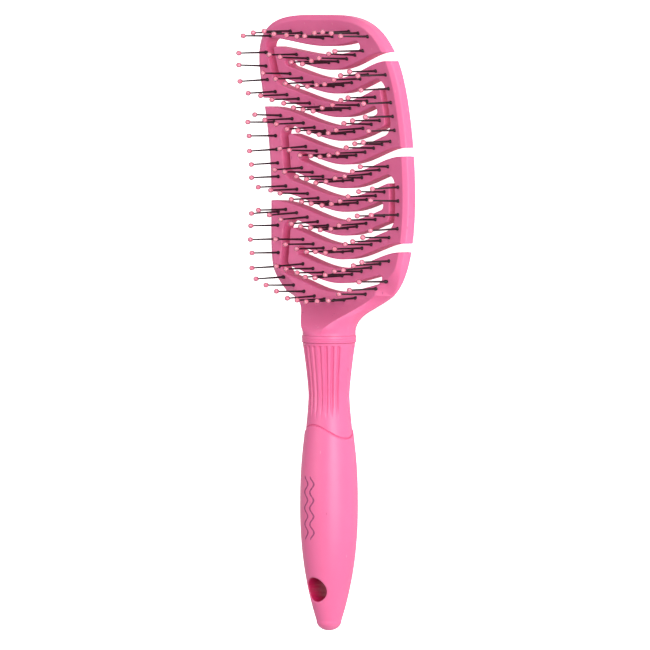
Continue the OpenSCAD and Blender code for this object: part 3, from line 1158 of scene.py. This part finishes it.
@dataclass(frozen=True)
class PinLayout:
    """Where the pins stand, row by row."""

    slots: SlotPattern
    plan: HeadPlan
    pitch: float = 5.3
    side_pitch: float = 5.35
    shifts: tuple[float, ...] = (0, 0, 0.35, 0.5, 0.5, 0, 0.5, 0.5, 0.2, 0.4)
    long_side: float = 30.5
    short_side: float = 24.5
    long_right: tuple[int, ...] = (2, 5, 6, 9, 10)
    long_left: tuple[int, ...] = (3, 4, 7, 8)
    left_runs: tuple[tuple[float, int], ...] = ((14.8, 3), (42.2, 5), (77.4, 5))
    right_runs: tuple[tuple[float, int], ...] = ((23, 5), (66.4, 4))
    edge_gap: float = 4.9
    slope_gap: float = 4.6
    top_gap: float = 9.0
    top_rise: float = 2.6
    top_wave: float = 32.0
    low_x: float = 128.8
    low_bow: float = 95.0
    low_extra: float = 0.3

    def rib(self, number: int) -> list[tuple[float, float]]:
        """Pins of one rib, counted from the head top."""
        right = self.long_side if number in self.long_right else self.short_side
        left = self.long_side if number in self.long_left else self.short_side - 1
        if number == 1:
            right, left = self.slots.blind + 1, self.slots.blind - 4
        base = self.slots.first + self.slots.pitch / 2 - number * self.slots.pitch
        places = [self.shifts[number - 1] * self.pitch + k * self.pitch for k in range(-7, 8)]
        return [(base + self.slots.wave(u), u) for u in places if -left <= u <= right]

    def top(self) -> list[tuple[float, float]]:
        """Pins above the first slot."""
        us = [k * self.pitch for k in range(-5, 6)]
        base, rise = self.plan.top - self.top_gap, self.top_rise
        return [(base + rise * (1 - math.cos(TAU * u / self.top_wave)) / 2, u) for u in us]

    def low(self) -> list[tuple[float, float]]:
        """Pins below the last slot."""
        us = [k * (self.pitch + self.low_extra) for k in range(-5, 6)]
        return [(self.low_x + u * u / self.low_bow, u) for u in us]

    def band(self, side: Side) -> list[tuple[float, float]]:
        """Pins along a side of the head."""
        plan, places = self.plan, []
        for start, count in self.left_runs if side is Side.LEFT else self.right_runs:
            for k in range(count):
                x = plan.top - start - k * self.side_pitch
                u = min(plan.half - self.edge_gap, plan.side(x) - self.slope_gap)
                places.append((x, side.value * u))
        return places

    def rows(self) -> dict[str, list[tuple[float, float]]]:
        """All rows by the name that their CAD nodes end with."""
        rows = {"top": self.top()}
        rows |= {f"rib_{n}": self.rib(n) for n in range(1, self.slots.count)}
        rows["low"] = self.low()
        rows["side_left"] = self.band(Side.LEFT)
        rows["side_right"] = self.band(Side.RIGHT)
        return rows


@dataclass
class PinRows:
    """The nylon pins with their root collars and dipped ends."""

    datum: Datum
    dish: Dish
    plan: HeadPlan
    neck: Neck
    layout: PinLayout
    length: float = 16.0
    lean_deg: float = 2.2
    seed: int = 11

    def shaft_profile(self) -> list[tuple[float, float]]:
        """Root collar, slim shaft and rounded end, radius and height."""
        top = self.length - 1.15
        return [
            (0.0, -0.6),
            (0.72, -0.6),
            (0.74, 0.1),
            (0.7, 0.34),
            (0.56, 0.58),
            (0.44, 0.9),
            (0.42, 1.6),
            (0.36, top * 0.5),
            (0.3, top - 0.4),
            (0.2, top),
            (0.0, top + 0.1),
        ]

    def tip_profile(self) -> list[tuple[float, float]]:
        """Dipped ball with a short skirt on the shaft, radius and height."""
        top = self.length
        return [
            (0.0, top - 2.35),
            (0.4, top - 2.35),
            (0.52, top - 2.15),
            (0.84, top - 1.75),
            (1.0, top - 1.25),
            (1.0, top - 0.9),
            (0.88, top - 0.45),
            (0.6, top - 0.15),
            (0.26, top - 0.03),
            (0.0, top),
        ]

    def stand(self, place: tuple[float, float], rng: random.Random) -> Matrix:
        """Placement of a pin: on the face, leaning a little."""
        x, u = place
        lean = math.radians(self.lean_deg)
        turn = Matrix.Rotation(rng.uniform(-lean, lean), 4, "X") @ Matrix.Rotation(
            rng.uniform(-lean, lean), 4, "Y"
        )
        spin = Matrix.Rotation(rng.uniform(0, TAU), 4, "Z")
        z = self.neck.face_z(x, u, self.plan, self.dish)
        return Matrix.Translation((x, u, z)) @ turn @ spin

    def build(
        self, nylon: bpy.types.Material, resin: bpy.types.Material
    ) -> list[bpy.types.Object]:
        """Builds every row as one piece of shafts and one of tips.

        Args:
            nylon: finish of the shafts.
            resin: finish of the tips.

        Returns:
            The new pieces.
        """
        rng = random.Random(self.seed)
        shaft = turned_template(self.shaft_profile(), 12)
        tip = turned_template(self.tip_profile(), 14)
        made = []
        for name, places in self.layout.rows().items():
            stands = [self.stand(place, rng) for place in places]
            for template, stem, finish, slot in (
                (shaft, "pins_", nylon, Slot.NYLON),
                (tip, "tips_", resin, Slot.RESIN),
            ):
                bm = bmesh.new()
                for matrix in stands:
                    first = len(bm.verts)
                    bm.from_mesh(template)
                    bm.verts.ensure_lookup_table()
                    bmesh.ops.transform(bm, matrix=matrix, verts=bm.verts[first:])
                node = stem + name
                made.append(piece(node + "_look", bm, self.datum, finish, [node], 60))
        for template in (shaft, tip):
            bpy.data.meshes.remove(template)
        return made


# ---------------------------------------------------------------- handle


@dataclass(frozen=True)
class HandleShape:
    """Side profile of the handle and the line of its wavy step."""

    grip_r: float = 11.3
    grip_x: float = 49.0
    taper: float = 0.68
    taper_power: float = 2.2
    cap_x: float = 4.0
    waist_r: float = 8.0
    waist_x: float = 92.0
    throat_x: float = 112.7
    neck_r: float = 10.4
    throat_in: float = 0.1
    ring_top: float = 115.4
    step_x: float = 78.0
    step_rise: float = 2.6
    proud: float = 0.38
    proud_run: float = 22.0
    hang_x: float = 16.5
    hang_r: float = 4.6
    lip: float = 1.0

    def tail(self, x: float) -> float:
        """Radius between the end and the thickest place."""
        share = (self.grip_x - x) / self.grip_x
        return self.grip_r * (1 - self.taper * share**self.taper_power)

    def radius(self, x: float) -> float:
        """Radius of the handle at any station."""
        if x < self.cap_x:
            share = (self.cap_x - x) / self.cap_x
            return self.tail(self.cap_x) * math.sqrt(max(0.0, 1 - share * share))
        if x < self.grip_x:
            return self.tail(x)
        if x < self.waist_x:
            share = (x - self.grip_x) / (self.waist_x - self.grip_x)
            swell = (1 + math.cos(math.pi * share)) / 2
            return self.waist_r + (self.grip_r - self.waist_r) * swell**0.75
        share = min(1.0, (x - self.waist_x) / (self.throat_x - self.waist_x))
        return self.waist_r + (self.neck_r - self.throat_in - self.waist_r) * share**1.35

    def skin(self, x: float) -> float:
        """Radius of the grip, which stands proud of the sleeve at the step."""
        return self.radius(x) + self.proud * smooth((x - self.grip_x) / self.proud_run)

    def step(self, angle: float) -> float:
        """Where the wavy step lies at an angle from the pin side."""
        return self.step_x + self.step_rise * math.cos(2 * angle)


@dataclass
class Handle:
    """Grip, fluted sleeve and neck ring."""

    datum: Datum
    shape: HandleShape
    flutes: int = 24
    flute_reach: float = 75.0
    flute_half: float = 0.7
    flute_deep: float = 0.75
    flute_slim: float = 0.55
    fade_x: float = 82.5
    fade_run: float = 7.5
    flute_stop: float = 1.05
    flute_stop_run: float = 0.35
    groove: float = 0.55
    groove_deep: float = 0.45
    edge: float = 0.55
    inner_r: float = 5.2
    grip_turn: float = 0.955
    sleeve_turn: float = 0.03
    tuck: float = 0.4
    ring_turn: float = 0.08
    ring_low_r: float = 10.3
    ring_high_r: float = 10.25
    ring_proud: float = 0.22
    ring_edge: float = 0.3
    ring_lines: tuple[float, ...] = (0.72, 1.45)
    line_deep: float = 0.14
    line_half: float = 0.13

    def point(self, x: float, angle: float, radius: float) -> Vector:
        """Point on the handle; an angle of zero is the pin side."""
        return Vector((x, radius * math.sin(angle), radius * math.cos(angle)))

    def grip_point(self, share: float, angle: float) -> Vector:
        """Point of the grip skin; the last part of the share turns in over the step."""
        shape, turn_in = self.shape, self.grip_turn
        end = shape.step(angle)
        if share > turn_in:
            inward = (share - turn_in) / (1 - turn_in)
            outer = shape.radius(end) + shape.proud - self.edge
            return self.point(end, angle, outer - (outer - self.inner_r) * inward)
        x = end * (share / turn_in) ** 1.3
        radius = shape.skin(x)
        short = self.edge - (end - x)
        if short > 0:
            radius -= self.edge - math.sqrt(max(0.0, self.edge**2 - short**2))
        return self.dip(self.point(x, angle, radius))

    def dip(self, point: Vector) -> Vector:
        """Rounds the skin down into the hanging hole."""
        shape = self.shape
        away = math.hypot(point.x - shape.hang_x, point.y)
        if away >= shape.hang_r + shape.lip:
            return point
        into = min(shape.lip, shape.hang_r + shape.lip - away)
        drop = shape.lip - math.sqrt(max(0.0, shape.lip**2 - into**2))
        point.z -= math.copysign(min(drop, abs(point.z)), point.z)
        return point

    def grip(self) -> bmesh.types.BMesh:
        """Grip with its hanging hole."""
        shape = self.shape
        bm = wrapped_skin(300, 144, self.grip_point)
        holes = [e for e in bm.edges if len(e.link_faces) == 1]
        bmesh.ops.holes_fill(bm, edges=holes)
        drill = bmesh.new()
        bmesh.ops.create_cone(
            drill,
            cap_ends=True,
            segments=96,
            radius1=shape.hang_r,
            radius2=shape.hang_r,
            depth=40,
            matrix=Matrix.Translation((shape.hang_x, 0, 0)),
        )
        carve(bm, drill)
        bmesh.ops.remove_doubles(bm, verts=bm.verts, dist=0.02)
        return bm

    def sleeve_point(self, share: float, angle: float) -> Vector:
        """Point of the fluted sleeve; both ends turn in."""
        shape, turn, inner = self.shape, self.sleeve_turn, self.inner_r
        start, stop = shape.step(angle) - self.tuck, shape.throat_x
        if share < turn:
            outer = shape.radius(start) - shape.throat_in
            return self.point(start, angle, inner + (outer - inner) * share / turn)
        if share > 1 - turn:
            inward, outer = (share - (1 - turn)) / turn, shape.radius(stop)
            return self.point(stop, angle, outer - (outer - inner) * inward)
        x = start + (stop - start) * ((share - turn) / (1 - 2 * turn)) ** 1.25
        near = min(1.0, (x - shape.step(angle)) / self.groove)
        undercut = self.groove_deep * (1 - max(0.0, near) ** 2)
        return self.point(x, angle, shape.radius(x) - self.flute(x, angle) - undercut)

    def flute(self, x: float, angle: float) -> float:
        """Depth of the flutes at a place: square at the top, fading at the bottom."""
        radius = self.shape.radius(x)
        turn = angle * self.flutes / TAU
        middle = math.floor(turn) + 0.5
        if abs(math.cos(middle * TAU / self.flutes)) < math.cos(math.radians(self.flute_reach)):
            return 0.0
        away = abs(turn - middle) * TAU * radius / self.flutes
        fade = smooth((x - self.fade_x) / self.fade_run)
        top = smooth((self.shape.throat_x - self.flute_stop - x) / self.flute_stop_run)
        half = self.flute_half * (self.flute_slim + (1 - self.flute_slim) * fade)
        if away >= half:
            return 0.0
        return self.flute_deep * fade * top * (1 - (away / half) ** 2) ** 0.8

    def ring_point(self, share: float, angle: float) -> Vector:
        """Point of the neck ring, with two fine grooves."""
        shape, turn, inner = self.shape, self.ring_turn, self.inner_r
        low, high = shape.throat_x, shape.ring_top
        if share < turn:
            return self.point(low, angle, inner + (self.ring_low_r - inner) * share / turn)
        if share > 1 - turn:
            inward = (share - (1 - turn)) / turn
            return self.point(high, angle, self.ring_high_r - (self.ring_high_r - inner) * inward)
        x = low + (high - low) * (share - turn) / (1 - 2 * turn)
        radius = shape.neck_r + self.ring_proud
        edge = min(x - low, high - x)
        if edge < self.ring_edge:
            short = self.ring_edge - edge
            radius -= self.ring_edge - math.sqrt(max(0.0, self.ring_edge**2 - short**2))
        for line in self.ring_lines:
            radius -= self.line_deep * math.exp(-(((x - low - line) / self.line_half) ** 2))
        return self.point(x, angle, radius)

    def build(self, plastic: bpy.types.Material) -> list[bpy.types.Object]:
        """Builds the three pieces.

        Args:
            plastic: finish of the moulding.

        Returns:
            The grip, the sleeve and the ring.
        """
        sleeve = wrapped_skin(150, 480, self.sleeve_point)
        ring = wrapped_skin(48, 144, self.ring_point)
        return [
            piece("grip_skin", self.grip(), self.datum, plastic, ["grip"], 40),
            piece("fluted_waist", sleeve, self.datum, plastic, ["fluted_sleeve"], 40),
            piece("neck_band", ring, self.datum, plastic, ["neck_ring"], 40),
        ]


@dataclass
class PrintedWaves:
    """Plain wavy strokes printed on the pin side of the grip, echoing the ribs."""

    datum: Datum
    shape: HandleShape
    start: float = 36.0
    stop: float = 61.0
    stroke: float = 0.75
    swing: float = 0.9
    period: float = 6.25
    offsets: tuple[float, ...] = (-1.5, 1.5)
    end_run: float = 1.2
    film: float = 0.02

    def build(self, ink: bpy.types.Material) -> bpy.types.Object:
        """Builds the strokes as thin films on the grip.

        Args:
            ink: finish of the print.

        Returns:
            The printed piece.
        """
        bm = bmesh.new()
        for offset in self.offsets:
            first = len(bm.verts)
            bmesh.ops.create_grid(bm, x_segments=110, y_segments=2, size=0.5)
            bm.verts.ensure_lookup_table()
            for vert in bm.verts[first:]:
                x = self.start + (self.stop - self.start) * (vert.co.x + 0.5)
                away = min(x - self.start, self.stop - x) + 0.05
                wide = self.stroke * min(1.0, away / self.end_run) ** 0.5
                u = offset + self.swing * math.sin(TAU * x / self.period) + vert.co.y * wide
                radius = self.shape.skin(x) + self.film
                vert.co = (x, u, math.sqrt(radius * radius - u * u))
        return piece("printed_waves", bm, self.datum, ink)


# ---------------------------------------------------------------- stage


@dataclass
class Studio:
    """Pale table, soft lights and the camera."""

    datum: Datum
    angle_deg: float = 44.5
    rise_deg: float = 3.0
    distance: float = 2.5
    mm_per_pixel: float = 0.3892
    aim_x: float = 119.35
    aim_side: float = -1.56
    pixels: int = 650
    film_mm: float = 36.0
    table_gap_mm: float = 0.2
    lamp_ahead: float = 20.0
    sky: float = 0.42

    def axes(self) -> tuple[Vector, Vector, Vector]:
        """Directions of the camera: backwards, right and up."""
        a, e = math.radians(self.angle_deg), math.radians(self.rise_deg)
        back = Vector((math.sin(e), -math.sin(a) * math.cos(e), math.cos(a) * math.cos(e)))
        right = Vector((0, -math.cos(a), -math.sin(a)))
        return back, right, back.cross(right)

    def camera(self) -> None:
        """Places the camera with a long lens."""
        back, right, up = self.axes()
        target = self.datum.world(self.aim_x, 0, 0) + right * (self.aim_side * MM)
        data = bpy.data.cameras.new("camera")
        cam = place_new("camera", data)
        cam.matrix_world = Matrix.Translation(target + back * self.distance) @ Matrix(
            (right, up, back)
        ).transposed().to_4x4()
        data.sensor_width = self.film_mm
        data.lens = self.film_mm * self.distance / (self.mm_per_pixel * MM * self.pixels)
        data.clip_start, data.clip_end = 0.05, 20.0
        bpy.context.scene.camera = cam

    def lamp(
        self, name: str, place: Vector, aim: Vector, size: float, watts: float, tone: str
    ) -> None:
        """Adds a soft square lamp.

        Args:
            name: its name.
            place: where it stands.
            aim: what it points at.
            size: length of its side, in metres.
            watts: its power.
            tone: its colour.
        """
        data = bpy.data.lights.new(name, "AREA")
        data.size, data.energy = size, watts
        data.color = linear(tone)[:3]
        turn = (place - aim).to_track_quat("Z", "Y").to_matrix().to_4x4()
        place_new(name, data).matrix_world = Matrix.Translation(place) @ turn

    def build(self) -> None:
        """Builds the table, the lamps, the room and the camera."""
        bm = bmesh.new()
        bmesh.ops.create_grid(bm, x_segments=8, y_segments=8, size=3.0)
        height = (self.datum.head_low_z - self.table_gap_mm) * MM
        bmesh.ops.translate(bm, verts=bm.verts, vec=(0.1, 0, height))
        mesh = bpy.data.meshes.new("table")
        bm.to_mesh(mesh)
        bm.free()
        table = place_new("table", mesh)
        mesh.materials.append(LightTable("opal_table").make())
        aim = self.datum.world(self.aim_x + self.lamp_ahead, 0, 0)
        self.lamp("key", aim + Vector((0.1, -1.1, 0.5)), aim, 0.7, 13.5, "#FFF9FB")
        self.lamp("fill", aim + Vector((0.45, 0.15, 1.3)), aim, 1.1, 6.5, "#FFFFFF")
        world = bpy.data.worlds.new("room")
        bpy.context.scene.world = world
        world.use_nodes = True
        sky = world.node_tree.nodes["Background"]
        sky.inputs[0].default_value = (1, 1, 1, 1)
        sky.inputs[1].default_value = self.sky
        bpy.context.scene.view_settings.view_transform = "Standard"
        self.camera()


def main() -> None:
    """Builds the brush around its CAD frame."""
    logging.basicConfig(level=logging.INFO, format="%(name)s: %(message)s")
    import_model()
    datum = Datum.read()
    dish, plan, slots, neck, shape = Dish(), HeadPlan(), SlotPattern(), Neck(), HandleShape()
    plastic = StrawPlastic("moulded_straw_plastic").make()
    nylon = DrawnNylon("drawn_black_nylon").make()
    resin = DippedResin("dipped_pink_resin").make()
    Head(datum, dish, plan, slots, neck).build(plastic)
    PinRows(datum, dish, plan, neck, PinLayout(slots, plan)).build(nylon, resin)
    Handle(datum, shape).build(plastic)
    PrintedWaves(datum, shape).build(PadInk("pad_print_ink").make())
    Studio(datum).build()


if __name__ == "__main__":
    main()
